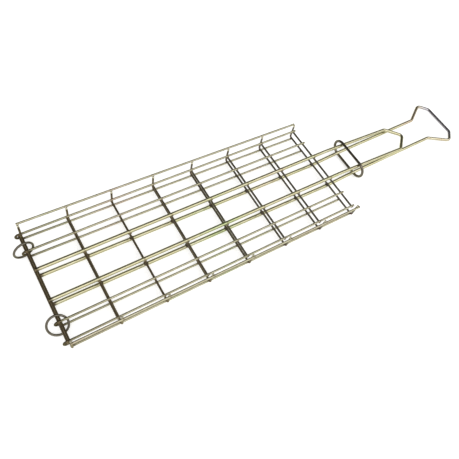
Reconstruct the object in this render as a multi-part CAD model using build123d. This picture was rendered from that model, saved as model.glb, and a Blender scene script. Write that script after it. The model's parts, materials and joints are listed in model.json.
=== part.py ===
from build123d import *

import os
from math import atan2, cos, degrees, radians, sin, tan

# A hinged toasting grid: a shallow wire tray and a flat wire lid, linked at one end by two loose rings
# and held shut by an oval ring that slides along the two long handles.
# X runs from the hinge to the handle, Y across the basket, Z up. All sizes are in millimetres.

# Wire sizes
THIN_WIRE = 2.6
HANDLE_WIRE = 4.4
RING_WIRE = 2.6
LATCH_WIRE = 3.6
WELD_SINK = 0.3
END_ROUNDING = 0.4

# Tray
BASKET_LENGTH = 385.0
CROSS_WIRES = 8
TRAY_WIDTH = 146.0
WALL_HEIGHT = 22.4
WALL_FLARE = 0.9
WALL_BEND_RADIUS = 2.6
RAIL_BELOW_TIP = 0.6
INNER_WIRE_SPACING = 91.0

# Lid
LID_SETBACK = 2.5
LID_SHORTER = 0.4
LID_WIDTH = 140.0
LID_EDGE_INSET = 1.3
LID_HEIGHT_AT_HINGE = 9.0
LID_HEIGHT_AT_HANDLE = 14.6
LID_WIRE_OVERHANG = 1.5
LID_CURL_RADIUS = 3.3
LID_CURL_OUTWARD = 0.7
LID_CURL_DEG = 230.0

# Tray handle
TRAY_HANDLE_SPACING = 37.6
TRAY_HANDLE_STEP_DEG = 6.5
TRAY_HANDLE_STEP_LENGTH = 45.0
TRAY_HANDLE_RISE_DEG = 2.75
TRAY_HANDLE_LENGTH = 195.0
FLARE_LENGTH = 30.0
FLARE_WIDTH = 75.0
CHAMFER_LENGTH = 12.0
END_BAR = 49.0
FLARE_RADIUS = 6.0

# Lid handle
LID_HANDLE_SPACING = 39.2
LID_HANDLE_BEND_OFFSET = 22.0
LID_HANDLE_DROP_DEG = 3.4
LID_HANDLE_LENGTH = 115.0
TIP_LENGTH = 21.5
TIP_RADIUS = 5.0
HANDLE_BEND_RADIUS = 60.0

# Rings
HINGE_RING_RADIUS = 11.2
FAR_RING_MIDDLE = (-4.24, 50.62, 7.1)
FAR_RING_FACING = (0.19, -0.979, 0.077)
NEAR_RING_MIDDLE = (-4.17, -45.43, 3.96)
NEAR_RING_FACING = (-0.1, -0.711, 0.696)
LATCH_OFFSET = 49.0
LATCH_STRAIGHT = 38.0
LATCH_LEAN_DEG = 4.0
LATCH_CLEARANCE = 0.4

# Heights of the long wires from the middle of the cross wire that each is welded to
THIN_ON_THIN = THIN_WIRE - WELD_SINK
HANDLE_ON_THIN = (THIN_WIRE + HANDLE_WIRE) / 2 - WELD_SINK

# Lid frame: a flat lid is made level at the hinge wire's height, then tipped up by this angle
LID_LENGTH = BASKET_LENGTH - LID_SHORTER
LID_TILT_DEG = degrees(atan2(LID_HEIGHT_AT_HANDLE - LID_HEIGHT_AT_HINGE, LID_LENGTH))
LID_AXIS = Axis((-LID_SETBACK, 0, LID_HEIGHT_AT_HINGE), (0, -1, 0))


def rounded_path(points, radii):
    """A wire through the points, with a tangent arc of the given radius at each inner one."""
    corners = [Vector(*point) for point in points]
    edges = []
    start = corners[0]
    for before, corner, after, radius in zip(corners, corners[1:], corners[2:], radii):
        into = (corner - before).normalized()
        out = (after - corner).normalized()
        half_turn = radians(into.get_angle(out)) / 2
        reach = radius * tan(half_turn)
        arc_start = corner - into * reach
        arc_end = corner + out * reach
        arc_middle = corner + (out - into).normalized() * radius * (1 / cos(half_turn) - 1)
        edges.append(Line(start, arc_start))
        edges.append(ThreePointArc(arc_start, arc_middle, arc_end))
        start = arc_end
    edges.append(Line(start, corners[-1]))
    return Wire(edges)


def bent_wire(path, diameter):
    """A round wire of the given diameter along a path. Its cut ends, if it has any, are rounded."""
    section = Plane(origin=path @ 0, z_dir=path % 0) * Circle(diameter / 2)
    wire = sweep(section, path=path)
    cut_ends = wire.faces().filter_by(GeomType.PLANE)
    return fillet(cut_ends.edges(), END_ROUNDING) if cut_ends else wire


def straight_wire(start, end, diameter):
    """A straight round wire between two points."""
    return bent_wire(Wire([Line(start, end)]), diameter)


def mirrored(points, radii):
    """A path's points and radii, carried on over the middle plane to the other side."""
    other_side = [(x, -y, z) for x, y, z in reversed(points)]
    return points + other_side, radii + radii[::-1]


def cross_wire_places(length):
    """Where the evenly spaced cross wires stand along a grid of the given length."""
    spacing = length / (CROSS_WIRES - 1)
    return [number * spacing for number in range(CROSS_WIRES)]


def wall_top():
    """Half of the width between the wall tips."""
    return TRAY_WIDTH / 2 + WALL_FLARE


def wall_at(height):
    """How far the wall's wire stands from the middle plane at a height."""
    return TRAY_WIDTH / 2 + WALL_FLARE * height / WALL_HEIGHT


def tray_cross_wire(x):
    """A cross wire bent up at both ends into the walls."""
    points = [
        (x, wall_top(), WALL_HEIGHT),
        (x, TRAY_WIDTH / 2, 0),
        (x, -TRAY_WIDTH / 2, 0),
        (x, -wall_top(), WALL_HEIGHT),
    ]
    return bent_wire(rounded_path(points, [WALL_BEND_RADIUS] * 2), THIN_WIRE)


def tray_long_wire(y, z):
    """A straight wire along the tray, as long as the cross wires reach."""
    return straight_wire((-THIN_WIRE / 2, y, z), (BASKET_LENGTH + THIN_WIRE / 2, y, z), THIN_WIRE)


def tray_handle_height(x):
    """Height of the tray handle's wires past the step, where they rise gently."""
    step_top = -HANDLE_ON_THIN + TRAY_HANDLE_STEP_LENGTH * tan(radians(TRAY_HANDLE_STEP_DEG))
    past_step = x - BASKET_LENGTH - TRAY_HANDLE_STEP_LENGTH
    return step_top + past_step * tan(radians(TRAY_HANDLE_RISE_DEG))


def tray_handle_wire():
    """The tray's handle: two wires under the floor, which end in a flared loop."""
    half = TRAY_HANDLE_SPACING / 2
    step_end = BASKET_LENGTH + TRAY_HANDLE_STEP_LENGTH
    flare_start = BASKET_LENGTH + TRAY_HANDLE_LENGTH
    flare_end = flare_start + FLARE_LENGTH
    bar = flare_end + CHAMFER_LENGTH
    points = [
        (-THIN_WIRE / 2, half, -HANDLE_ON_THIN),
        (BASKET_LENGTH, half, -HANDLE_ON_THIN),
        (step_end, half, tray_handle_height(step_end)),
        (flare_start, half, tray_handle_height(flare_start)),
        (flare_end, FLARE_WIDTH / 2, tray_handle_height(flare_end)),
        (bar, END_BAR / 2, tray_handle_height(bar)),
    ]
    path = rounded_path(*mirrored(points, [HANDLE_BEND_RADIUS] * 2 + [FLARE_RADIUS] * 3))
    return bent_wire(path, HANDLE_WIRE)


def tray_pieces():
    """Every wire of the tray, by name."""
    pieces = {}
    for number, x in enumerate(cross_wire_places(BASKET_LENGTH), start=1):
        pieces[f"tray_cross_wire_{number}"] = tray_cross_wire(x)
    edge = TRAY_WIDTH / 2 - WALL_BEND_RADIUS
    rail_height = WALL_HEIGHT - RAIL_BELOW_TIP
    for side, sign in (("far", 1), ("near", -1)):
        pieces[f"tray_edge_wire_{side}"] = tray_long_wire(sign * edge, -THIN_ON_THIN)
        pieces[f"tray_inner_wire_{side}"] = tray_long_wire(sign * INNER_WIRE_SPACING / 2, -THIN_ON_THIN)
        rail = sign * (wall_at(rail_height) + THIN_ON_THIN)
        pieces[f"tray_rail_{side}"] = tray_long_wire(rail, rail_height)
    pieces["tray_handle_wire"] = tray_handle_wire()
    return pieces


def lid_cross_wire(x):
    """A straight cross wire of the lid."""
    half = LID_WIDTH / 2
    return straight_wire((x, half, LID_HEIGHT_AT_HINGE), (x, -half, LID_HEIGHT_AT_HINGE), THIN_WIRE)


def on_curl(y, turned_deg):
    """A point of the curl at a lid wire's hinge end, turned outwards and down from the curl's top."""
    turned = radians(turned_deg)
    x = -LID_SETBACK - LID_CURL_OUTWARD - LID_CURL_RADIUS * sin(turned)
    return (x, y, LID_HEIGHT_AT_HINGE + THIN_ON_THIN - LID_CURL_RADIUS * (1 - cos(turned)))


def lid_long_wire(y):
    """A thin wire on top of the lid's cross wires, curled round the one at the hinge end."""
    end = LID_LENGTH - LID_SETBACK + THIN_WIRE / 2 + LID_WIRE_OVERHANG
    top = on_curl(y, 0)
    straight = Line((end, y, LID_HEIGHT_AT_HINGE + THIN_ON_THIN), top)
    curl = ThreePointArc(top, on_curl(y, LID_CURL_DEG / 2), on_curl(y, LID_CURL_DEG))
    return bent_wire(Wire([straight, curl]), THIN_WIRE)


def lid_handle_bend():
    """Where the lid's handle starts to slope down, in the level lid's frame."""
    return LID_LENGTH - LID_SETBACK + LID_HANDLE_BEND_OFFSET


def lid_handle_wire():
    """The lid's handle: two wires over the lid, which meet in a blunt point."""
    half = LID_HANDLE_SPACING / 2
    top = LID_HEIGHT_AT_HINGE + HANDLE_ON_THIN
    drop = tan(radians(LID_HANDLE_DROP_DEG))
    bend = lid_handle_bend()
    shoulder = bend + LID_HANDLE_LENGTH
    tip = shoulder + TIP_LENGTH
    points = [
        (-LID_SETBACK, half, top),
        (bend, half, top),
        (shoulder, half, top - LID_HANDLE_LENGTH * drop),
    ]
    radii = [HANDLE_BEND_RADIUS, TIP_RADIUS]
    all_points, all_radii = mirrored(points, radii)
    all_points.insert(len(points), (tip, 0, top - (LID_HANDLE_LENGTH + TIP_LENGTH) * drop))
    all_radii.insert(len(radii), TIP_RADIUS)
    return bent_wire(rounded_path(all_points, all_radii), HANDLE_WIRE)


def lid_pieces():
    """Every wire of the lid, by name, tipped up from the hinge as the lid stands when it is shut."""
    pieces = {}
    for number, x in enumerate(cross_wire_places(LID_LENGTH), start=1):
        pieces[f"lid_cross_wire_{number}"] = lid_cross_wire(x - LID_SETBACK)
    for side, sign in (("far", 1), ("near", -1)):
        edge = LID_WIDTH / 2 - LID_EDGE_INSET
        pieces[f"lid_edge_wire_{side}"] = lid_long_wire(sign * edge)
        pieces[f"lid_inner_wire_{side}"] = lid_long_wire(sign * INNER_WIRE_SPACING / 2)
    pieces["lid_handle_wire"] = lid_handle_wire()
    return {name: piece.rotate(LID_AXIS, LID_TILT_DEG) for name, piece in pieces.items()}


def hinge_ring(middle, facing):
    """A loose ring round the lid's and the tray's end wires, facing along the given direction."""
    return Plane(origin=middle, z_dir=facing) * Torus(HINGE_RING_RADIUS, RING_WIRE / 2)


def lid_handle_height(x):
    """Height of the lid handle's wires past their bend, once the lid is tipped."""
    tilt = radians(LID_TILT_DEG)
    along = lid_handle_bend() + LID_SETBACK
    bend_x = -LID_SETBACK + along * cos(tilt) - HANDLE_ON_THIN * sin(tilt)
    bend_z = LID_HEIGHT_AT_HINGE + along * sin(tilt) + HANDLE_ON_THIN * cos(tilt)
    return bend_z - (x - bend_x) * tan(radians(LID_HANDLE_DROP_DEG) - tilt)


def latch_ring():
    """The oval ring that slides along the handles and holds them together."""
    x = BASKET_LENGTH + LATCH_OFFSET
    low = tray_handle_height(x)
    high = lid_handle_height(x)
    held = high - low + HANDLE_WIRE + 2 * LATCH_CLEARANCE
    radius = (held + LATCH_WIRE) / 2 / cos(radians(LATCH_LEAN_DEG))
    half = LATCH_STRAIGHT / 2
    path = Wire([
        Line((half, radius, 0), (-half, radius, 0)),
        ThreePointArc((-half, radius, 0), (-half - radius, 0, 0), (-half, -radius, 0)),
        Line((-half, -radius, 0), (half, -radius, 0)),
        ThreePointArc((half, -radius, 0), (half + radius, 0, 0), (half, radius, 0)),
    ])
    lean = radians(LATCH_LEAN_DEG)
    plane = Plane(origin=(x, 0, (low + high) / 2), x_dir=(0, 1, 0), z_dir=(cos(lean), 0, sin(lean)))
    return plane * bent_wire(path, LATCH_WIRE)


def moved_to_frame(pieces):
    """The pieces with the origin under the middle of the whole grid, on the surface it stands on."""
    box = None
    for piece in pieces.values():
        box = box.add(piece.bounding_box()) if box else piece.bounding_box()
    middle = box.center()
    shift = Vector(-middle.X, -middle.Y, -box.min.Z)
    return {name: piece.translate(shift) for name, piece in pieces.items()}, shift


def all_pieces():
    """Every piece of the grid, by name, and the shift from the basket's frame to the grid's."""
    pieces = tray_pieces()
    pieces.update(lid_pieces())
    pieces["hinge_ring_far"] = hinge_ring(FAR_RING_MIDDLE, FAR_RING_FACING)
    pieces["hinge_ring_near"] = hinge_ring(NEAR_RING_MIDDLE, NEAR_RING_FACING)
    pieces["latch_ring"] = latch_ring()
    return moved_to_frame(pieces)


def main():
    os.makedirs("parts", exist_ok=True)
    pieces, _ = all_pieces()
    for name, piece in pieces.items():
        export_step(piece, f"parts/{name}.step")


if __name__ == "__main__":
    main()
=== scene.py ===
import json
from math import cos, pi, radians, sin

import bpy
from mathutils import Matrix, Vector


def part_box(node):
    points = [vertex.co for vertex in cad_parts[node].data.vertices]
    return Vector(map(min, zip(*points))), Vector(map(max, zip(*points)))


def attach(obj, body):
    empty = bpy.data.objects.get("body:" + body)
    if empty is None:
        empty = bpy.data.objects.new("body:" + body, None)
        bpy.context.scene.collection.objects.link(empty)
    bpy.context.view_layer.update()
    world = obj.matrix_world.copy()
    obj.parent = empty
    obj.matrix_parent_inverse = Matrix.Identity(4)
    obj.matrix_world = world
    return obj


bl_info = {
    "name": "Hinged Toasting Grid",
    "version": (1, 0, 0),
    "blender": (4, 5, 0),
    "location": "3D View > Sidebar > Toasting Grid",
    "description": "Plates, welds and stages a hinged wire toasting grid",
    "category": "Object",
}

# The frame is metres: X runs from the hinge to the handle's end, Y across the basket and Z up.
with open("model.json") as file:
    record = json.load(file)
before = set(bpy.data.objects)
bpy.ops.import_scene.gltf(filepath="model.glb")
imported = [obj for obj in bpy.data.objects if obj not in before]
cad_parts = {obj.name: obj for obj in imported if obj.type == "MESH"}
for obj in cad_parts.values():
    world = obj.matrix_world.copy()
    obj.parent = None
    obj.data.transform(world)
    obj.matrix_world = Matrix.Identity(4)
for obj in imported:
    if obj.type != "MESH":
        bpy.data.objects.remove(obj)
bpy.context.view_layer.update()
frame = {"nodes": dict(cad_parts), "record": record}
NODES = frame["nodes"]
BODIES = frame["record"]["behaviour"]["bodies"]
MM = 0.001

GRIDS = ("tray", "lid")
SIDES = {"far": 1, "near": -1}


# Sizes read from the frame

def middle(node):
    """The middle of a node's box."""
    low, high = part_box(node)
    return (low + high) / 2


def cross_wires(grid):
    """A grid's cross wires, from the hinge to the handle."""
    return sorted((name for name in BODIES[grid] if "_cross_wire_" in name), key=lambda name: middle(name).x)


def wires_called(grid, kind):
    """A grid's wires of one kind, on both sides."""
    return [name for name in BODIES[grid] if f"_{kind}_" in name]


def wire_size(node):
    """The thickness of a cross wire."""
    low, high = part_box(node)
    return high.x - low.x


def handle_side(grid):
    """How far a handle's wires lie from the middle plane, over the basket."""
    basket_end = middle(cross_wires(grid)[-1]).x
    vertices = NODES[f"{grid}_handle_wire"].data.vertices
    reaches = [abs(vertex.co.y) for vertex in vertices if vertex.co.x < basket_end]
    return (min(reaches) + max(reaches)) / 2


def handle_size(grid):
    """The thickness of a handle's wire."""
    basket_end = middle(cross_wires(grid)[-1]).x
    vertices = NODES[f"{grid}_handle_wire"].data.vertices
    reaches = [abs(vertex.co.y) for vertex in vertices if vertex.co.x < basket_end]
    return max(reaches) - min(reaches)


THIN_WIRE = wire_size("tray_cross_wire_1")
HANDLE_WIRE = handle_size("tray")
FIRST_CROSSING = {grid: middle(cross_wires(grid)[0]).x for grid in GRIDS}
CROSSING_PITCH = {
    grid: (middle(cross_wires(grid)[-1]).x - FIRST_CROSSING[grid]) / (len(cross_wires(grid)) - 1)
    for grid in GRIDS
}


# Settings

def length(name, description, millimetres):
    """A length property, with its default given in millimetres."""
    return bpy.props.FloatProperty(
        name=name, description=description, default=millimetres * MM, min=0, precision=5,
        unit="LENGTH", subtype="DISTANCE")


def share(name, description, default):
    """A property from 0 to 1."""
    return bpy.props.FloatProperty(name=name, description=description, default=default, min=0, max=1)


def colour(name, description, default):
    """A colour property."""
    return bpy.props.FloatVectorProperty(
        name=name, description=description, default=default, min=0, max=1, size=3, subtype="COLOR")


def angle(name, description, degrees):
    """An angle property, with its default given in degrees."""
    return bpy.props.FloatProperty(
        name=name, description=description, default=radians(degrees), subtype="ANGLE")


def amount(name, description, default):
    """A plain number above 0."""
    return bpy.props.FloatProperty(name=name, description=description, default=default, min=0)


class PlateSettings(bpy.types.PropertyGroup):
    """The iridescent plating of the wires"""

    gold: colour("Gold", "Main colour of the plating", (0.50, 0.47, 0.29))
    green: colour("Green", "Colour where the plating's film is thin", (0.38, 0.45, 0.21))
    rose: colour("Rose", "Colour where the plating's film is thick", (0.55, 0.42, 0.33))
    cream: colour("Cream", "Colour of the pale clouds in the plating", (0.62, 0.60, 0.45))
    grey: colour("Grey", "Colour that the thin wires' plating has faded toward", (0.38, 0.35, 0.30))
    fading: share("Fading", "How far the thin wires' plating has faded", 0.35)
    # Slate and mauve are painted dark reflection: the cross wires, welds and rings get them for the dark
    # surroundings they reflect, though their plating is the same as the long wires'. Slate also darkens the
    # dull spots.
    slate: colour("Slate", "Colour of the darker plating, on the cross wires and the rings",
                  (0.18, 0.165, 0.14))
    mauve: colour("Mauve", "Second colour of the darker plating", (0.17, 0.13, 0.135))
    umber: colour("Umber", "Colour that the darker plating takes toward the hinge", (0.2, 0.155, 0.1))
    # Brown is painted shade: the long wires' ends at the hinge lie in shade and are tinted brown for it. The
    # rings are mixed toward the same brown.
    brown: colour("Brown", "Tint of the long wires' ends at the hinge", (0.10, 0.08, 0.045))
    browning: share("Browning", "How far the rings' plating has turned brown", 0.4)
    brown_reach: length("Brown reach", "How far the brown tint runs from the hinge's wires", 5)
    olive: colour("Olive", "Colour that the inner and edge wires take toward the hinge", (0.3, 0.28, 0.18))
    # The pale colour of the wall wires' upper ends, just under the rails, is a painted highlight: the light
    # they reflect is painted into their colour.
    tip_highlight: colour("Tip Highlight", "Pale zinc on the tips of the wall wires", (0.8, 0.76, 0.6))
    tip_length: length("Tip length", "How far the pale zinc reaches below the rails' middle", 2.4)
    # The foot colour is a dark maroon tint on the lowest bends of the wall wires.
    foot: colour("Foot", "Burnt plating on the bends at the foot of the walls", (0.11, 0.04, 0.045))
    foot_height: length("Foot height", "How far the burnt plating reaches up the wall wires", 5)
    # The end bar's grey tint is painted reflection: the bar runs across the grid and shows darker
    # reflections, while its plating is the same as the rest.
    bar_reflection: colour("Bar reflection", "Tint of the handle's end bar, where the plating is thinnest", (0.42, 0.4, 0.43))
    bar_reflection_reach: length("Steel reach", "How far the steel tint runs from the end bar", 16)
    scorch: colour("Scorch", "Tint beside the welds", (0.2, 0.15, 0.09))
    edge: colour("Edge", "Tint of the plating at grazing angles", (0.8, 0.84, 0.6))
    patch: length("Patch", "Length of a patch of one colour along a wire", 130)
    patch_shift: length("Patch shift", "How far the patches are moved toward the handle's end", 610)
    roughness: share("Roughness", "How blurred the plating's reflections are", 0.27)
    scorch_reach: length("Scorch reach", "How far a weld tints the wire on each side", 4.5)


class WeldSettings(bpy.types.PropertyGroup):
    """The squeezed weld at each crossing of two wires"""

    spread: amount("Spread", "Radius of a weld, in radii of the thicker of its wires", 1.12)
    thickness: length("Thickness", "Half of a weld's height between its wires", 0.6)
    lobes: share("Lobes", "How much further a weld reaches into the four corners between the wires", 0.2)
    unevenness: length("Unevenness", "How far a weld's surface strays", 0.22)
    seed: bpy.props.IntProperty(name="Seed", description="Seed of the welds' differences", default=7)


class StageSettings(bpy.types.PropertyGroup):
    """The floor, the light and the camera"""

    floor: length("Floor", "Side of the square floor", 6000)
    white: share("White", "Shade of the floor", 0.82)
    lift: share("Lift", "Light that the floor adds for a white background", 0.5)
    daylight: amount("Daylight", "Strength of the even light from all round", 0.6)
    softbox_length: length("Softbox length", "Length of the lamp, along the grid", 3600)
    softbox_width: length("Softbox width", "Width of the lamp", 900)
    power: amount("Power", "Power of the lamp in watts", 16)
    lamp_distance: length("Lamp distance", "Distance from the lamp to the middle of the grid", 1600)
    lamp_azimuth: angle("Lamp azimuth", "Bearing of the lamp's light, from +Y toward +X", 0)
    lamp_elevation: angle("Lamp elevation", "Height of the lamp above the horizon", 56)
    screen: length("Screen", "Radius of the dark studio screen behind the grid", 2500)
    screen_shade: share("Screen shade", "Brightness of the dark studio screen", 0.1)
    azimuth: angle("Azimuth", "The way the camera looks, turned from +Y toward +X", 47.83)
    elevation: angle("Elevation", "How steeply the camera looks down", 57.51)
    roll: angle("Roll", "How far the camera is tilted to the left", 19.33)
    distance: length("Distance", "From the camera to the point that it looks at", 609.45)
    target: bpy.props.FloatVectorProperty(
        name="Target", description="The point that the camera looks at", size=3,
        default=(-83.462 * MM, -24.48 * MM, 10 * MM), unit="LENGTH", subtype="TRANSLATION")
    lens: amount("Lens", "Focal length in millimetres, for a sensor 36 mm wide", 38.82)


# Building blocks for node trees

def add(tree, kind, inputs=(), **settings):
    """A node of a kind with its settings, and its inputs linked or set."""
    node = tree.nodes.new(kind)
    for name, value in settings.items():
        setattr(node, name, value)
    for key, value in dict(inputs).items():
        if isinstance(value, bpy.types.NodeSocket):
            tree.links.new(value, node.inputs[key])
        else:
            node.inputs[key].default_value = value
    return node


def maths(tree, operation, *values):
    """A Math node's result."""
    return add(tree, "ShaderNodeMath", enumerate(values), operation=operation).outputs[0]


def vector_maths(tree, operation, *values):
    """A Vector Math node's result."""
    return add(tree, "ShaderNodeVectorMath", enumerate(values), operation=operation).outputs[0]


def mixed(tree, factor, first, second):
    """Two colours mixed by a factor."""
    node = add(tree, "ShaderNodeMix", data_type="RGBA")
    sockets = (node.inputs["Factor"], node.inputs[6], node.inputs[7])
    for socket, value in zip(sockets, (factor, first, second)):
        if isinstance(value, bpy.types.NodeSocket):
            tree.links.new(value, socket)
        else:
            socket.default_value = value
    return node.outputs[2]


def stepped(tree, value, low, high):
    """A value's smooth step from 0 at low to 1 at high."""
    inputs = {"Value": value, "From Min": low, "From Max": high}
    return add(tree, "ShaderNodeMapRange", inputs, interpolation_type="SMOOTHSTEP").outputs["Result"]


def noise(tree, vector, scale, detail=2.0, roughness=0.5):
    """A noise texture's value."""
    inputs = {"Vector": vector, "Scale": scale, "Detail": detail, "Roughness": roughness}
    return add(tree, "ShaderNodeTexNoise", inputs).outputs["Fac"]


def opaque(shade):
    """A colour with its alpha."""
    return (*shade, 1.0)


def new_group(name, kind, inputs, outputs):
    """An empty node group with its sockets, and its input and output nodes."""
    group = bpy.data.node_groups.new(name, kind)
    for socket, (socket_type, default) in inputs.items():
        made = group.interface.new_socket(socket, in_out="INPUT", socket_type=socket_type)
        if default is not None:
            made.default_value = default
    for socket, socket_type in outputs.items():
        group.interface.new_socket(socket, in_out="OUTPUT", socket_type=socket_type)
    return group, add(group, "NodeGroupInput").outputs, add(group, "NodeGroupOutput").inputs


# Shader node groups

# Where the film's noise starts to turn a colour, and where it has turned fully
ROSE_STEP = (0.54, 0.72)
GREEN_STEP = (0.46, 0.3)
CLOUD_STEP = (0.45, 0.72)
CLOUD_STRENGTH = 0.55
CLOUDS_PER_PATCH = 9.0
# The sizes of the surface's marks, as noise scales, and how strongly each shows
LINE_SCALE = 3500.0
PIT_SCALE = 1400.0
SPOT_SCALE = 260.0
PIT_STEP = (0.66, 0.8)
PIT_DEPTH = 0.8
SPOT_STEP = (0.52, 0.74)
SPOT_ROUGHNESS = 0.16
LINE_ROUGHNESS = 0.06
# A weld mark's ragged edge, and the share of its reach that it covers fully
RAGGED_SCALE = 700.0
FULL_MARK_SHARE = 0.35
FOOT_STRENGTH = 0.8


def film_group():
    """The plating's colour: long patches of green, gold and rose, with pale clouds."""
    shades = {name: ("NodeSocketColor", (0.5, 0.5, 0.5, 1)) for name in ("Gold", "Green", "Rose", "Cream")}
    inputs = {"Vector": ("NodeSocketVector", None), "Patch": ("NodeSocketFloat", 0.1),
              "Shift": ("NodeSocketVector", (0, 0, 0)), **shades}
    group, given, result = new_group("plating film", "ShaderNodeTree", inputs, {"Color": "NodeSocketColor"})
    frequency = maths(group, "DIVIDE", 1.0, given["Patch"])
    shifted = vector_maths(group, "SUBTRACT", given["Vector"], given["Shift"])
    patches = noise(group, shifted, frequency, detail=3.0)
    toward_rose = stepped(group, patches, *ROSE_STEP)
    toward_green = stepped(group, patches, *GREEN_STEP)
    base = mixed(group, toward_rose, given["Gold"], given["Rose"])
    base = mixed(group, toward_green, base, given["Green"])
    clouds = noise(group, given["Vector"], maths(group, "MULTIPLY", frequency, CLOUDS_PER_PATCH), detail=4.0)
    pale = maths(group, "MULTIPLY", stepped(group, clouds, *CLOUD_STEP), CLOUD_STRENGTH)
    group.links.new(mixed(group, pale, base, given["Cream"]), result["Color"])
    return group


def surface_group():
    """The drawn wire's surface: fine die lines along it, dull spots and small pits."""
    inputs = {
        "Vector": ("NodeSocketVector", None),
        "Line Stretch": ("NodeSocketVector", (1, 1, 1)),
        "Roughness": ("NodeSocketFloat", 0.3),
    }
    outputs = {"Roughness": "NodeSocketFloat", "Height": "NodeSocketFloat", "Dull": "NodeSocketFloat"}
    group, given, result = new_group("drawn wire", "ShaderNodeTree", inputs, outputs)
    stretched = vector_maths(group, "MULTIPLY", given["Vector"], given["Line Stretch"])
    lines = noise(group, stretched, LINE_SCALE)
    pits = noise(group, given["Vector"], PIT_SCALE, detail=3.0)
    spots = noise(group, given["Vector"], SPOT_SCALE, detail=4.0, roughness=0.65)
    dull = stepped(group, spots, *SPOT_STEP)
    pitted = maths(group, "MULTIPLY", stepped(group, pits, *PIT_STEP), PIT_DEPTH)
    height = maths(group, "SUBTRACT", lines, pitted)
    rough = maths(group, "MULTIPLY_ADD", dull, SPOT_ROUGHNESS, given["Roughness"])
    rough = maths(group, "MULTIPLY_ADD", lines, LINE_ROUGHNESS, rough)
    group.links.new(rough, result["Roughness"])
    group.links.new(height, result["Height"])
    group.links.new(dull, result["Dull"])
    return group


def weld_mark(group, given, away):
    """A mark from the distance to a weld: 1 beside it, and fading raggedly to 0 at the reach."""
    ragged = maths(group, "MULTIPLY", noise(group, given["Vector"], RAGGED_SCALE), given["Reach"])
    full = maths(group, "MULTIPLY", given["Reach"], FULL_MARK_SHARE)
    return stepped(group, maths(group, "ADD", away, ragged), given["Reach"], full)


def row_scorch_group():
    """Marks beside a row of evenly spaced welds along X: 1 at each weld, and 0 past its reach."""
    inputs = {
        "Vector": ("NodeSocketVector", None),
        "First": ("NodeSocketFloat", 0.0),
        "Pitch": ("NodeSocketFloat", 0.1),
        "Reach": ("NodeSocketFloat", 0.01),
        "Last": ("NodeSocketFloat", 1.0),
    }
    group, given, result = new_group("weld row marks", "ShaderNodeTree", inputs, {"Mark": "NodeSocketFloat"})
    place = add(group, "ShaderNodeSeparateXYZ", {"Vector": given["Vector"]}).outputs["X"]
    from_first = maths(group, "SUBTRACT", place, given["First"])
    half = maths(group, "MULTIPLY", given["Pitch"], 0.5)
    mark = weld_mark(group, given, maths(group, "PINGPONG", from_first, half))
    past_last = maths(group, "GREATER_THAN", place, given["Last"])
    inside = maths(group, "SUBTRACT", 1.0, past_last)
    group.links.new(maths(group, "MULTIPLY", mark, inside), result["Mark"])
    return group


def side_scorch_group():
    """Marks beside welds at three distances from the middle plane, on both sides."""
    distances = {name: ("NodeSocketFloat", 0.01) for name in ("Handle", "Inner", "Edge", "Reach")}
    inputs = {"Vector": ("NodeSocketVector", None), **distances}
    group, given, result = new_group("weld side marks", "ShaderNodeTree", inputs, {"Mark": "NodeSocketFloat"})
    place = add(group, "ShaderNodeSeparateXYZ", {"Vector": given["Vector"]}).outputs["Y"]
    side = maths(group, "ABSOLUTE", place)
    aways = [maths(group, "ABSOLUTE", maths(group, "SUBTRACT", side, given[name]))
             for name in ("Handle", "Inner", "Edge")]
    nearest = maths(group, "MINIMUM", maths(group, "MINIMUM", aways[0], aways[1]), aways[2])
    group.links.new(weld_mark(group, given, nearest), result["Mark"])
    return group


def end_tint_group():
    """A colour that takes a tint toward one end: all of it from one place along X, and none from another."""
    inputs = {
        "Vector": ("NodeSocketVector", None),
        "Color": ("NodeSocketColor", (0.5, 0.5, 0.5, 1)),
        "Tint": ("NodeSocketColor", (0.1, 0.1, 0.1, 1)),
        "Full": ("NodeSocketFloat", 0.0),
        "Gone": ("NodeSocketFloat", 1.0),
    }
    group, given, result = new_group("end tint", "ShaderNodeTree", inputs, {"Color": "NodeSocketColor"})
    place = add(group, "ShaderNodeSeparateXYZ", {"Vector": given["Vector"]}).outputs["X"]
    near = stepped(group, place, given["Gone"], given["Full"])
    group.links.new(mixed(group, near, given["Color"], given["Tint"]), result["Color"])
    return group


def wall_tint_group():
    """A wall wire's painted highlight at its upper end, above one height, and its dark maroon foot, below
    another and far enough out in Y.
    """
    inputs = {
        "Vector": ("NodeSocketVector", None),
        "Color": ("NodeSocketColor", (0.5, 0.5, 0.5, 1)),
        "Tip Highlight": ("NodeSocketColor", (0.8, 0.8, 0.8, 1)),
        "Foot": ("NodeSocketColor", (0.1, 0.1, 0.1, 1)),
        "Tip Start": ("NodeSocketFloat", 0.02),
        "Foot End": ("NodeSocketFloat", 0.01),
        "Side": ("NodeSocketFloat", 0.05),
        "Fade": ("NodeSocketFloat", 0.001),
    }
    group, given, result = new_group("wall tint", "ShaderNodeTree", inputs, {"Color": "NodeSocketColor"})
    place = add(group, "ShaderNodeSeparateXYZ", {"Vector": given["Vector"]}).outputs

    def past(value, start):
        """1 once a value is past a start, over the fade."""
        return stepped(group, value, start, maths(group, "ADD", start, given["Fade"]))

    below = maths(group, "SUBTRACT", 1.0, past(place["Z"], given["Foot End"]))
    at_foot = maths(group, "MULTIPLY", below, past(maths(group, "ABSOLUTE", place["Y"]), given["Side"]))
    color = mixed(group, maths(group, "MULTIPLY", at_foot, FOOT_STRENGTH), given["Color"], given["Foot"])
    # The painted highlight: pale above the start height.
    group.links.new(mixed(group, past(place["Z"], given["Tip Start"]), color, given["Tip Highlight"]), result["Color"])
    return group


def shader_group(make):
    """A node group by its maker, made once."""
    name = make.__name__
    if name not in MADE_GROUPS:
        MADE_GROUPS[name] = make()
    return MADE_GROUPS[name]


MADE_GROUPS = {}


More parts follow.
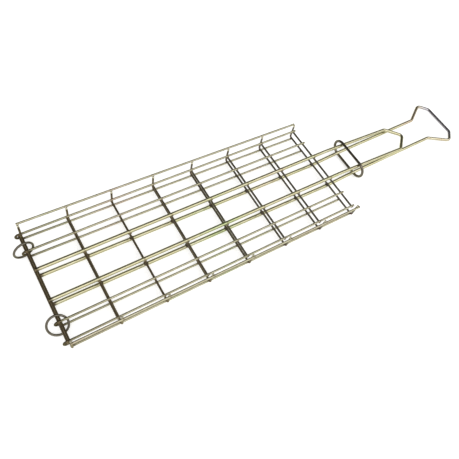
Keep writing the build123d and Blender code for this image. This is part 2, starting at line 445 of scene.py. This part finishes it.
def fill(tree, group, inputs):
    """A group node whose inputs are linked or set once the group is in it."""
    node = tree.nodes.new("ShaderNodeGroup")
    node.node_tree = group
    for key, value in inputs.items():
        if isinstance(value, bpy.types.NodeSocket):
            tree.links.new(value, node.inputs[key])
        else:
            node.inputs[key].default_value = value
    return node.outputs


# Materials

# How much rougher the faded plating and the welds are than the handles
FADED_ROUGHNESS = 0.12
WELD_ROUGHNESS = 0.2
LINE_STRETCH = {"x": (0.02, 1, 1), "y": (1, 0.02, 1), "round": (0.6, 0.6, 0.6)}
BUMP_DISTANCE = 0.04 * MM
BUMP_STRENGTH = 0.35
# How strongly a weld's mark tints and roughens the wire, and how far dull spots darken it
MARK_STRENGTH = 0.75
MARK_ROUGHNESS = 0.12
SPOT_STRENGTH = 0.18


def plated(name, settings, shades, lines, end_tints, weld_marks=None, roughness=0.0, walls=None):
    """A plated wire's material. lines says which way its die lines run, and walls gives the walls' tints."""
    material = bpy.data.materials.new(name)
    material.use_nodes = True
    tree = material.node_tree
    tree.nodes.clear()
    place = add(tree, "ShaderNodeTexCoord").outputs["Object"]
    film = fill(tree, shader_group(film_group), {
        "Vector": place, "Patch": settings.patch, "Shift": (settings.patch_shift, 0, 0), **shades})
    surface = fill(tree, shader_group(surface_group), {
        "Vector": place, "Line Stretch": LINE_STRETCH[lines], "Roughness": settings.roughness + roughness})
    tint = film["Color"]
    for end_tint in end_tints:
        tint = fill(tree, shader_group(end_tint_group), {"Vector": place, "Color": tint, **end_tint})["Color"]
    rough = surface["Roughness"]
    if weld_marks:
        mark = weld_marks(tree, place)
        tint = mixed(tree, maths(tree, "MULTIPLY", mark, MARK_STRENGTH), tint, opaque(settings.scorch))
        rough = maths(tree, "MULTIPLY_ADD", mark, MARK_ROUGHNESS, rough)
    if walls:
        tint = fill(tree, shader_group(wall_tint_group), {"Vector": place, "Color": tint, **walls})["Color"]
    dulled = maths(tree, "MULTIPLY", surface["Dull"], SPOT_STRENGTH)
    tint = mixed(tree, dulled, tint, opaque(settings.slate))
    bump = add(tree, "ShaderNodeBump", {
        "Strength": BUMP_STRENGTH, "Distance": BUMP_DISTANCE, "Height": surface["Height"]})
    shader = add(tree, "ShaderNodeBsdfPrincipled", {
        "Base Color": tint, "Roughness": rough, "Metallic": 1.0, "Normal": bump.outputs["Normal"],
        "Specular Tint": opaque(settings.edge)})
    add(tree, "ShaderNodeOutputMaterial", {"Surface": shader.outputs["BSDF"]})
    return material


def between(first, second, share_of_second):
    """A colour on the way from one to another."""
    return [a + (b - a) * share_of_second for a, b in zip(first, second)]


def bright_shades(settings, fading=0.0):
    """The film's colours on the handles' wires, or on the thin long wires once faded."""
    shades = {"Gold": settings.gold, "Green": settings.green, "Rose": settings.rose, "Cream": settings.cream}
    return {name: opaque(between(shade, settings.grey, fading)) for name, shade in shades.items()}


def reflection_darkened_shades(settings, browning=0.0):
    """The film's colours darkened as painted dark reflection, on the cross wires and the welds, or on the
    rings once browned.
    """
    shades = {"Gold": settings.slate, "Green": between(settings.slate, settings.green, 0.15),
              "Rose": settings.mauve, "Cream": between(settings.slate, settings.grey, 0.3)}
    return {name: opaque(between(shade, settings.brown, browning)) for name, shade in shades.items()}


def painted_shade_ends(settings, grid):
    """The painted shade on a grid's long wires where they end at the hinge: brown up to just past the first
    cross wire, fading over the reach.
    """
    start = FIRST_CROSSING[grid] + THIN_WIRE / 2
    return {"Tint": opaque(settings.brown), "Full": start, "Gone": start + settings.brown_reach}


def painted_bar_reflection(settings):
    """The painted reflection on the tray handle's end bar: a grey tint over the bar and the wire beside it.
    """
    _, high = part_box("tray_handle_wire")
    bar = high.x - HANDLE_WIRE
    return {"Tint": opaque(settings.bar_reflection), "Full": bar, "Gone": bar - settings.bar_reflection_reach}


def olive_toward_hinge(settings, grid):
    """The darker plating of a grid's thin wires, between the hinge and the second cross wire."""
    first = FIRST_CROSSING[grid]
    return {"Tint": opaque(settings.olive), "Full": first, "Gone": first + CROSSING_PITCH[grid] * 1.5}


def wall_tints(settings, grid):
    """The tints of the tray's wires and welds in its walls: a painted highlight at their upper ends and a
    dark maroon foot. The lid has none.
    """
    if grid == "lid":
        return None
    low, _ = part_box("tray_cross_wire_1")
    return {"Tip Highlight": opaque(settings.tip_highlight), "Foot": opaque(settings.foot),
            "Tip Start": middle("tray_rail_far").z - settings.tip_length,
            "Foot End": low.z + settings.foot_height,
            "Side": middle("tray_edge_wire_far").y + THIN_WIRE / 2, "Fade": THIN_WIRE / 3}


def umber_toward_hinge(settings):
    """The slow change of the cross wires' darkened colours along the basket."""
    first = FIRST_CROSSING["tray"]
    return {"Tint": opaque(settings.umber), "Full": first + CROSSING_PITCH["tray"] / 2,
            "Gone": first + CROSSING_PITCH["tray"] * (len(cross_wires("tray")) - 1)}


def row_marks(settings, grid):
    """Weld marks along a grid's long wires, as a function for plated."""
    def marks(tree, place):
        last = middle(cross_wires(grid)[-1]).x + CROSSING_PITCH[grid] / 2
        inputs = {"Vector": place, "First": FIRST_CROSSING[grid], "Pitch": CROSSING_PITCH[grid],
                  "Reach": settings.scorch_reach, "Last": last}
        return fill(tree, shader_group(row_scorch_group), inputs)["Mark"]
    return marks


def side_marks(settings, grid):
    """Weld marks along a grid's cross wires, as a function for plated."""
    def marks(tree, place):
        inputs = {"Vector": place, "Handle": handle_side(grid), "Inner": middle(f"{grid}_inner_wire_far").y,
                  "Edge": middle(f"{grid}_edge_wire_far").y, "Reach": settings.scorch_reach}
        return fill(tree, shader_group(side_scorch_group), inputs)["Mark"]
    return marks


def give(nodes, material):
    """Puts a material on frame nodes, in place of their own."""
    for name in nodes:
        mesh = NODES[name].data
        mesh.materials.clear()
        mesh.materials.append(material)


# Welds

# The welds on the rails are smaller, so that they stay below the rails' tops.
RAIL_WELD_SHARE = 0.7
# The handles' wires end over the middle of the first cross wires, so those welds are smaller and sit inwards.
END_WELD_SHARE = 0.6
# The smallest and largest weld, as shares of the mean, and the scale of the noise on their surface
WELD_SIZES = (0.88, 1.12)
WELD_BUMP_SCALE = 900.0


def crossing_places(grid):
    """Each crossing's place, the way its wires face each other, and the radius of the thicker wire."""
    places = []
    lean = lid_lean() if grid == "lid" else 0.0
    # The tray's long wires lie under its cross wires, and the lid's lie on them.
    facing = Vector((-sin(lean), 0, cos(lean))) * (1 if grid == "lid" else -1)
    sides = [(middle(f"{grid}_inner_wire_far").y, THIN_WIRE), (middle(f"{grid}_edge_wire_far").y, THIN_WIRE),
             (handle_side(grid), HANDLE_WIRE)]
    for name in cross_wires(grid):
        low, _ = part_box(name)
        wire = Vector((middle(name).x, 0, low.z + THIN_WIRE / 2))
        for side, thickness in sides:
            at_end = thickness == HANDLE_WIRE and name == cross_wires(grid)[0]
            inwards = Vector((THIN_WIRE / 2 if at_end else 0, 0, 0))
            for sign in SIDES.values():
                place = wire + facing * (THIN_WIRE / 2) + Vector((0, sign * side, 0)) + inwards
                places.append((place, facing, thickness / 2 * (END_WELD_SHARE if at_end else 1)))
        if grid == "tray":
            rail = middle("tray_rail_far")
            for sign in SIDES.values():
                outward = Vector((0, sign, 0))
                place = Vector((middle(name).x, 0, rail.z)) + outward * (rail.y - THIN_WIRE / 2)
                places.append((place, outward, THIN_WIRE / 2 * RAIL_WELD_SHARE))
    return places


def lid_lean():
    """How far the shut lid slopes up from the hinge to the handle."""
    wires = cross_wires("lid")
    along = middle(wires[-1]) - middle(wires[0])
    return along.z / along.x


def weld_tree(material):
    """Geometry nodes that put a squeezed weld at each point of a mesh."""
    inputs = {
        "Geometry": ("NodeSocketGeometry", None),
        "Thickness": ("NodeSocketFloat", 0.0),
        "Spread": ("NodeSocketFloat", 0.0),
        "Lobes": ("NodeSocketFloat", 0.0),
        "Unevenness": ("NodeSocketFloat", 0.0),
        "Seed": ("NodeSocketInt", 0),
    }
    outputs = {"Geometry": "NodeSocketGeometry"}
    tree, given, result = new_group("squeezed welds", "GeometryNodeTree", inputs, outputs)
    ball = add(tree, "GeometryNodeMeshIcoSphere", {"Radius": 1.0, "Subdivisions": 3}).outputs["Mesh"]
    place = add(tree, "GeometryNodeInputPosition").outputs["Position"]
    axes = add(tree, "ShaderNodeSeparateXYZ", {"Vector": place}).outputs
    # The product of X and Y is largest in the four corners between the wires.
    product = maths(tree, "MULTIPLY", axes["X"], axes["Y"])
    corner = maths(tree, "ABSOLUTE", maths(tree, "MULTIPLY", product, 2.0))
    swell = maths(tree, "MULTIPLY", corner, given["Lobes"])
    outward = add(tree, "ShaderNodeCombineXYZ", {
        "X": maths(tree, "MULTIPLY", axes["X"], swell), "Y": maths(tree, "MULTIPLY", axes["Y"], swell)})
    lobed = add(tree, "GeometryNodeSetPosition", {"Geometry": ball, "Offset": outward.outputs[0]})

    facing = add(tree, "GeometryNodeInputNamedAttribute", {"Name": "facing"}, data_type="FLOAT_VECTOR")
    turn = add(tree, "FunctionNodeAlignRotationToVector", {"Vector": facing.outputs["Attribute"]}, axis="Z")
    radius = add(tree, "GeometryNodeInputNamedAttribute", {"Name": "radius"}, data_type="FLOAT")
    chance = add(tree, "FunctionNodeRandomValue", data_type="FLOAT")
    for key, value in zip(("Min", "Max"), WELD_SIZES):
        limit = next(socket for socket in chance.inputs if socket.name == key and socket.enabled)
        limit.default_value = value
    tree.links.new(given["Seed"], next(socket for socket in chance.inputs if socket.name == "Seed"))
    drawn = next(socket for socket in chance.outputs if socket.enabled)
    mean_reach = maths(tree, "MULTIPLY", radius.outputs["Attribute"], given["Spread"])
    reach = maths(tree, "MULTIPLY", mean_reach, drawn)
    size = add(tree, "ShaderNodeCombineXYZ", {
        "X": reach, "Y": reach, "Z": maths(tree, "MULTIPLY", given["Thickness"], drawn)})
    copies = add(tree, "GeometryNodeInstanceOnPoints", {
        "Points": given["Geometry"], "Instance": lobed.outputs["Geometry"],
        "Rotation": turn.outputs["Rotation"], "Scale": size.outputs[0]})
    real = add(tree, "GeometryNodeRealizeInstances", {"Geometry": copies.outputs["Instances"]})

    bumps = noise(tree, place, WELD_BUMP_SCALE, detail=3.0)
    away = maths(tree, "MULTIPLY", maths(tree, "SUBTRACT", bumps, 0.5), given["Unevenness"])
    normal = add(tree, "GeometryNodeInputNormal").outputs["Normal"]
    push = add(tree, "ShaderNodeVectorMath", {0: normal, "Scale": away}, operation="SCALE").outputs[0]
    uneven = add(tree, "GeometryNodeSetPosition", {"Geometry": real.outputs["Geometry"], "Offset": push})
    smooth = add(tree, "GeometryNodeSetShadeSmooth", {"Geometry": uneven.outputs["Geometry"]})
    painted = add(tree, "GeometryNodeSetMaterial", {
        "Geometry": smooth.outputs["Geometry"], "Material": material})
    tree.links.new(painted.outputs["Geometry"], result["Geometry"])
    return tree


def points_object(name, places):
    """A mesh of loose points, each with the way it faces and its radius."""
    mesh = bpy.data.meshes.new(name)
    mesh.from_pydata([place for place, _, _ in places], [], [])
    facing = mesh.attributes.new("facing", "FLOAT_VECTOR", "POINT")
    facing.data.foreach_set("vector", [part for _, way, _ in places for part in way])
    radius = mesh.attributes.new("radius", "FLOAT", "POINT")
    radius.data.foreach_set("value", [size for _, _, size in places])
    piece = bpy.data.objects.new(name, mesh)
    bpy.context.scene.collection.objects.link(piece)
    return piece


def grown(piece, tree, values):
    """Runs a geometry tree on an object, and keeps its result as a plain mesh."""
    modifier = piece.modifiers.new(tree.name, "NODES")
    modifier.node_group = tree
    for item in tree.interface.items_tree:
        if item.item_type == "SOCKET" and item.in_out == "INPUT" and item.name in values:
            modifier[item.identifier] = values[item.name]
    evaluated = piece.evaluated_get(bpy.context.evaluated_depsgraph_get())
    mesh = bpy.data.meshes.new_from_object(evaluated)
    points = piece.data
    piece.modifiers.clear()
    piece.data = mesh
    bpy.data.meshes.remove(points)
    mesh.name = piece.name
    return piece


# Stage

def stage_object(name, mesh):
    """A linked object that isn't part of the grid."""
    piece = bpy.data.objects.new(name, mesh)
    bpy.context.scene.collection.objects.link(piece)
    return piece


def seen_directly(tree):
    """1 for a ray from the camera, off a gloss or through glass, and 0 for the rest."""
    rays = add(tree, "ShaderNodeLightPath").outputs
    either = maths(tree, "MAXIMUM", rays["Is Camera Ray"], rays["Is Glossy Ray"])
    return maths(tree, "MAXIMUM", either, rays["Is Transmission Ray"])


def floor_material(settings):
    """A pale matt floor, lifted to white where no shadow falls."""
    material = bpy.data.materials.new("floor white")
    material.use_nodes = True
    tree = material.node_tree
    tree.nodes.clear()
    matt = add(tree, "ShaderNodeBsdfDiffuse", {"Color": opaque([settings.white] * 3)})
    lift = add(tree, "ShaderNodeEmission", {
        "Color": opaque((1, 1, 1)), "Strength": maths(tree, "MULTIPLY", seen_directly(tree), settings.lift)})
    both = add(tree, "ShaderNodeAddShader", {0: matt.outputs[0], 1: lift.outputs[0]})
    add(tree, "ShaderNodeOutputMaterial", {"Surface": both.outputs[0]})
    return material


def make_floor(settings):
    """The floor that the grid stands on."""
    half = settings.floor / 2
    mesh = bpy.data.meshes.new("floor")
    corners = [(-half, -half, 0), (half, -half, 0), (half, half, 0), (-half, half, 0)]
    mesh.from_pydata(corners, [], [(0, 1, 2, 3)])
    mesh.materials.append(floor_material(settings))
    stage_object("floor", mesh)


def make_world(settings):
    """Even light from all round, which shows white where it is seen."""
    world = bpy.data.worlds.new("daylight")
    world.use_nodes = True
    tree = world.node_tree
    tree.nodes.clear()
    dim = add(tree, "ShaderNodeBackground", {"Color": opaque((1, 1, 1)), "Strength": settings.daylight})
    white = add(tree, "ShaderNodeBackground", {"Color": opaque((1, 1, 1)), "Strength": 1.0})
    both = add(tree, "ShaderNodeMixShader", {0: seen_directly(tree), 1: dim.outputs[0], 2: white.outputs[0]})
    add(tree, "ShaderNodeOutputWorld", {"Surface": both.outputs[0]})
    bpy.context.scene.world = world


def toward(azimuth, elevation):
    """The way from the middle to a point at a bearing and a height, in the camera's convention."""
    return Vector((-sin(azimuth) * cos(elevation), -cos(azimuth) * cos(elevation), sin(elevation)))


def make_lamp(settings):
    """One large soft lamp, high over the near side."""
    lamp = bpy.data.lights.new("softbox", "AREA")
    lamp.shape = "RECTANGLE"
    lamp.size = settings.softbox_length
    lamp.size_y = settings.softbox_width
    lamp.energy = settings.power
    piece = bpy.data.objects.new("softbox", lamp)
    way = toward(settings.lamp_azimuth, settings.lamp_elevation)
    piece.location = way * settings.lamp_distance
    piece.rotation_euler = way.to_track_quat("Z", "Y").to_euler()
    bpy.context.scene.collection.objects.link(piece)


SCREEN_STEPS = 24
SCREEN_REACH = 5


def make_screen(settings):
    """A dark screen, curved up behind and over the far side, which only reflections show."""
    radius = settings.screen
    vertices = []
    for step in range(SCREEN_STEPS + 1):
        turn = step / SCREEN_STEPS * pi / 2
        for x in (-SCREEN_REACH * radius, SCREEN_REACH * radius):
            vertices.append((x, radius * cos(turn), radius * sin(turn)))
    faces = [(2 * n, 2 * n + 1, 2 * n + 3, 2 * n + 2) for n in range(SCREEN_STEPS)]
    mesh = bpy.data.meshes.new("dark screen")
    mesh.from_pydata(vertices, [], faces)
    material = bpy.data.materials.new("screen black")
    material.use_nodes = True
    tree = material.node_tree
    tree.nodes.clear()
    glow = add(tree, "ShaderNodeEmission", {"Color": opaque((1, 1, 1)), "Strength": settings.screen_shade})
    add(tree, "ShaderNodeOutputMaterial", {"Surface": glow.outputs[0]})
    mesh.materials.append(material)
    screen = stage_object("dark_screen", mesh)
    screen.visible_camera = False
    screen.visible_diffuse = False
    screen.visible_shadow = False
    screen.visible_transmission = False


def make_camera(settings):
    """The camera at the photograph's viewing angle."""
    camera = bpy.data.cameras.new("camera")
    camera.sensor_width = 36
    camera.lens = settings.lens
    piece = bpy.data.objects.new("camera", camera)
    back = toward(settings.azimuth, settings.elevation)
    level = back.to_track_quat("Z", "Y").to_matrix().to_4x4()
    where = Matrix.Translation(Vector(settings.target) + back * settings.distance)
    piece.matrix_world = where @ level @ Matrix.Rotation(settings.roll, 4, "Z")
    bpy.context.scene.collection.objects.link(piece)
    bpy.context.scene.camera = piece


# Operators

class GRID_OT_plate_handles(bpy.types.Operator):
    """Plate the thick wires of both grids' handles"""

    bl_idname = "toasting_grid.plate_handles"
    bl_label = "Plate Handles"

    def execute(self, context):
        settings = context.scene.grid_plate
        for grid in GRIDS:
            tints = [painted_shade_ends(settings, grid), painted_bar_reflection(settings)]
            material = plated(f"{grid} gold plate", settings, bright_shades(settings), "x", tints,
                              row_marks(settings, grid))
            give([f"{grid}_handle_wire"], material)
        return {"FINISHED"}


class GRID_OT_plate_long_wires(bpy.types.Operator):
    """Plate the thin long wires of both grids"""

    bl_idname = "toasting_grid.plate_long_wires"
    bl_label = "Plate Long Wires"

    def execute(self, context):
        settings = context.scene.grid_plate
        shades = bright_shades(settings, settings.fading)
        for grid in GRIDS:
            tints = [olive_toward_hinge(settings, grid), painted_shade_ends(settings, grid)]
            material = plated(f"{grid} faded plate", settings, shades, "x", tints, row_marks(settings, grid),
                              FADED_ROUGHNESS)
            give(wires_called(grid, "inner") + wires_called(grid, "edge"), material)
        material = plated("rail faded plate", settings, shades, "x", [], row_marks(settings, "tray"),
                          FADED_ROUGHNESS)
        give(wires_called("tray", "rail"), material)
        return {"FINISHED"}


class GRID_OT_plate_cross_wires(bpy.types.Operator):
    """Plate the cross wires of both grids"""

    bl_idname = "toasting_grid.plate_cross_wires"
    bl_label = "Plate Cross Wires"

    def execute(self, context):
        settings = context.scene.grid_plate
        # The cross wires' darkened colours paint the dark reflections of wires that run across the grid.
        shades = reflection_darkened_shades(settings)
        for grid in GRIDS:
            material = plated(f"{grid} reflection darkened plate", settings, shades, "y", [umber_toward_hinge(settings)],
                              side_marks(settings, grid), FADED_ROUGHNESS, wall_tints(settings, grid))
            give(cross_wires(grid), material)
        return {"FINISHED"}


class GRID_OT_plate_rings(bpy.types.Operator):
    """Plate the hinge rings and the latch ring"""

    bl_idname = "toasting_grid.plate_rings"
    bl_label = "Plate Rings"

    def execute(self, context):
        settings = context.scene.grid_plate
        # The rings take the darkened colours that paint dark reflections, mixed further toward brown.
        material = plated("ring reflection darkened plate", settings, reflection_darkened_shades(settings, settings.browning), "round", [])
        give(["hinge_ring_far", "hinge_ring_near", "latch_ring"], material)
        return {"FINISHED"}


class GRID_OT_weld(bpy.types.Operator):
    """Weld the wires of both grids where they cross"""

    bl_idname = "toasting_grid.weld"
    bl_label = "Weld Crossings"

    def execute(self, context):
        welds = context.scene.grid_weld
        plate = context.scene.grid_plate
        values = {"Thickness": welds.thickness, "Spread": welds.spread, "Lobes": welds.lobes,
                  "Unevenness": welds.unevenness, "Seed": welds.seed}
        for grid in GRIDS:
            # The welds take the cross wires' darkened colours, which paint dark reflections, with the walls'
            # painted highlight and dark maroon foot.
            material = plated(f"{grid} weld reflection darkened plate", plate, reflection_darkened_shades(plate), "round",
                              [umber_toward_hinge(plate)], roughness=WELD_ROUGHNESS,
                              walls=wall_tints(plate, grid))
            piece = grown(points_object(f"{grid}_welds", crossing_places(grid)), weld_tree(material), values)
            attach(piece, grid)
        return {"FINISHED"}


class GRID_OT_stage(bpy.types.Operator):
    """Make the floor, the light and the camera"""

    bl_idname = "toasting_grid.stage"
    bl_label = "Make Stage"

    def execute(self, context):
        settings = context.scene.grid_stage
        make_floor(settings)
        make_world(settings)
        make_lamp(settings)
        make_screen(settings)
        make_camera(settings)
        context.scene.view_settings.view_transform = "Standard"
        return {"FINISHED"}


OPERATORS = (GRID_OT_plate_handles, GRID_OT_plate_long_wires, GRID_OT_plate_cross_wires, GRID_OT_plate_rings,
             GRID_OT_weld, GRID_OT_stage)
SETTINGS = {"grid_plate": PlateSettings, "grid_weld": WeldSettings, "grid_stage": StageSettings}


class GRID_PT_panel(bpy.types.Panel):
    """The toasting grid's settings and steps"""

    bl_idname = "GRID_PT_panel"
    bl_label = "Toasting Grid"
    bl_space_type = "VIEW_3D"
    bl_region_type = "UI"
    bl_category = "Toasting Grid"

    def draw(self, context):
        for name, group in SETTINGS.items():
            box = self.layout.box()
            box.label(text=group.__doc__)
            for field in group.__annotations__:
                box.prop(getattr(context.scene, name), field)
        for operator in OPERATORS:
            self.layout.operator(operator.bl_idname)


CLASSES = (*SETTINGS.values(), *OPERATORS, GRID_PT_panel)


def register():
    """Adds the classes, and the settings to the scene."""
    for cls in CLASSES:
        bpy.utils.register_class(cls)
    for name, group in SETTINGS.items():
        setattr(bpy.types.Scene, name, bpy.props.PointerProperty(type=group))


def unregister():
    """Takes away what register added."""
    for name in SETTINGS:
        delattr(bpy.types.Scene, name)
    for cls in reversed(CLASSES):
        bpy.utils.unregister_class(cls)


def main():
    """Registers the add-on and runs every step in order."""
    register()
    bpy.ops.toasting_grid.plate_handles()
    bpy.ops.toasting_grid.plate_long_wires()
    bpy.ops.toasting_grid.plate_cross_wires()
    bpy.ops.toasting_grid.plate_rings()
    bpy.ops.toasting_grid.weld()
    bpy.ops.toasting_grid.stage()


if __name__ == "__main__":
    main()
